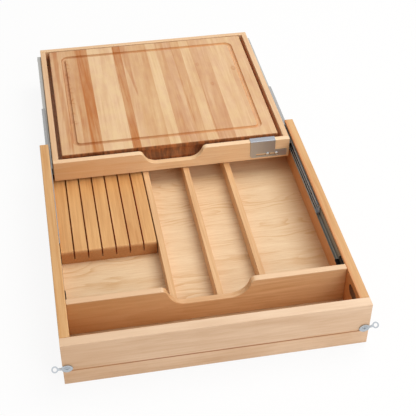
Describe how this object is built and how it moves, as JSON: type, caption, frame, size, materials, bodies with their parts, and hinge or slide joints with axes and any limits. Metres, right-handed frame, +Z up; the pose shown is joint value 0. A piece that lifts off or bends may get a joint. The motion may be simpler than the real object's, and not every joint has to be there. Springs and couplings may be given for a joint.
{
  "type": "knife and cutting board drawer",
  "caption": "Wooden kitchen drawer with cutlery lanes, a slotted knife block and a sliding tray that carries a lift-out butcher block cutting board.",
  "frame": {"origin": "foot of the front rail, midway across the drawer and midway through the rail's thickness", "axes": "+X to the right as seen from the face, +Y from the face to the rear, +Z up"},
  "size_m": [0.5787, 0.9375, 0.0992],
  "materials": {
    "maple_box": "clear lacquered maple, satin",
    "maple_panel": "clear lacquered maple veneer, satin",
    "maple_tray": "clear lacquered maple, satin",
    "knife_block_wood": "clear lacquered hardwood, satin",
    "board_wood": "oiled edge-grain hardwood staves",
    "dowel_wood": "plain beech",
    "latch_steel": "bare spring steel, satin",
    "screw_steel": "zinc plated",
    "bright_zinc": "bright zinc plated",
    "slide_steel": "zinc plated cold rolled steel",
    "ball_steel": "polished",
    "cage_steel": "stamped, plain",
    "black_plastic": "moulded",
    "grey_plastic": "moulded"
  },
  "bodies": {
    "drawer": {"back_screws": "screw_steel", "cross_divider": "maple_box", "drawer_back": "maple_box", "drawer_bottom": "maple_panel", "drawer_front": "maple_box", "drawer_front_rail": "maple_box", "drawer_side_left": "maple_box", "drawer_side_right": "maple_box", "eye_bracket_screw_left": "bright_zinc", "eye_bracket_screw_right": "bright_zinc", "front_dowels": "dowel_wood", "knife_block": "knife_block_wood", "partition_left": "maple_box", "partition_middle": "maple_box", "partition_right": "maple_box", "rail_dowels": "dowel_wood", "slide_end_piece_left": "black_plastic", "slide_end_piece_right": "black_plastic", "slide_outer_left": "slide_steel", "slide_outer_right": "slide_steel", "slide_outer_screws": "screw_steel"},
    "tray": {"tray_front": "maple_tray", "tray_side_left": "maple_tray", "tray_side_right": "maple_tray", "tray_back": "maple_tray", "tray_bottom": "maple_panel", "slide_inner_left": "slide_steel", "slide_inner_right": "slide_steel", "slide_inner_screws": "screw_steel", "latch_screws": "screw_steel", "tray_dowels": "dowel_wood"},
    "board": {"cutting_board": "board_wood"},
    "latch": {"latch_plate": "latch_steel"},
    "middle_member_left": {"slide_middle_left": "slide_steel", "slide_bumper_left": "grey_plastic"},
    "outer_cage_left": {"outer_ball_cage_left": "cage_steel", "outer_balls_left": "ball_steel"},
    "inner_cage_left": {"inner_ball_cage_left": "cage_steel", "inner_balls_left": "ball_steel"},
    "bracket_left": {"eye_bracket_left": "bright_zinc"},
    "middle_member_right": {"slide_middle_right": "slide_steel", "slide_bumper_right": "grey_plastic"},
    "outer_cage_right": {"outer_ball_cage_right": "cage_steel", "outer_balls_right": "ball_steel"},
    "inner_cage_right": {"inner_ball_cage_right": "cage_steel", "inner_balls_right": "ball_steel"},
    "bracket_right": {"eye_bracket_right": "bright_zinc"}
  },
  "joints": [
    {"name": "tray_slide", "type": "slide", "parent": "drawer", "child": "tray", "axis": [0, 1, 0], "range_m": [-0.38, 0.06]},
    {"name": "board_lift", "type": "slide", "parent": "tray", "child": "board", "axis": [0, 0, 1], "range_m": [0, 0.06]},
    {"name": "latch_slide", "type": "slide", "parent": "tray", "child": "latch", "axis": [1, 0, 0], "range_m": [0, 0.0085]},
    {"name": "middle_slide_left", "type": "slide", "parent": "drawer", "child": "middle_member_left", "axis": [0, 1, 0], "range_m": [-0.148, 0.0234]},
    {"name": "outer_cage_roll_left", "type": "slide", "parent": "drawer", "child": "outer_cage_left", "axis": [0, 1, 0], "range_m": [-0.074, 0.0117]},
    {"name": "inner_cage_roll_left", "type": "slide", "parent": "drawer", "child": "inner_cage_left", "axis": [0, 1, 0], "range_m": [-0.264, 0.0417]},
    {"name": "bracket_swivel_left", "type": "hinge", "parent": "drawer", "child": "bracket_left", "pos_m": [-0.2639, -0.01105, 0.0419], "axis": [0, 1, 0], "range_deg": [-30, 30]},
    {"name": "middle_slide_right", "type": "slide", "parent": "drawer", "child": "middle_member_right", "axis": [0, 1, 0], "range_m": [-0.148, 0.0234]},
    {"name": "outer_cage_roll_right", "type": "slide", "parent": "drawer", "child": "outer_cage_right", "axis": [0, 1, 0], "range_m": [-0.074, 0.0117]},
    {"name": "inner_cage_roll_right", "type": "slide", "parent": "drawer", "child": "inner_cage_right", "axis": [0, 1, 0], "range_m": [-0.264, 0.0417]},
    {"name": "bracket_swivel_right", "type": "hinge", "parent": "drawer", "child": "bracket_right", "pos_m": [0.2621, -0.01105, 0.0408], "axis": [0, 1, 0], "range_deg": [-16, 30]}
  ],
  "couplings": [
    {"joint": "middle_slide_left", "follows": "tray_slide", "ratio": 0.3894},
    {"joint": "outer_cage_roll_left", "follows": "tray_slide", "ratio": 0.1947},
    {"joint": "inner_cage_roll_left", "follows": "tray_slide", "ratio": 0.6947},
    {"joint": "middle_slide_right", "follows": "tray_slide", "ratio": 0.3894},
    {"joint": "outer_cage_roll_right", "follows": "tray_slide", "ratio": 0.1947},
    {"joint": "inner_cage_roll_right", "follows": "tray_slide", "ratio": 0.6947}
  ]
}
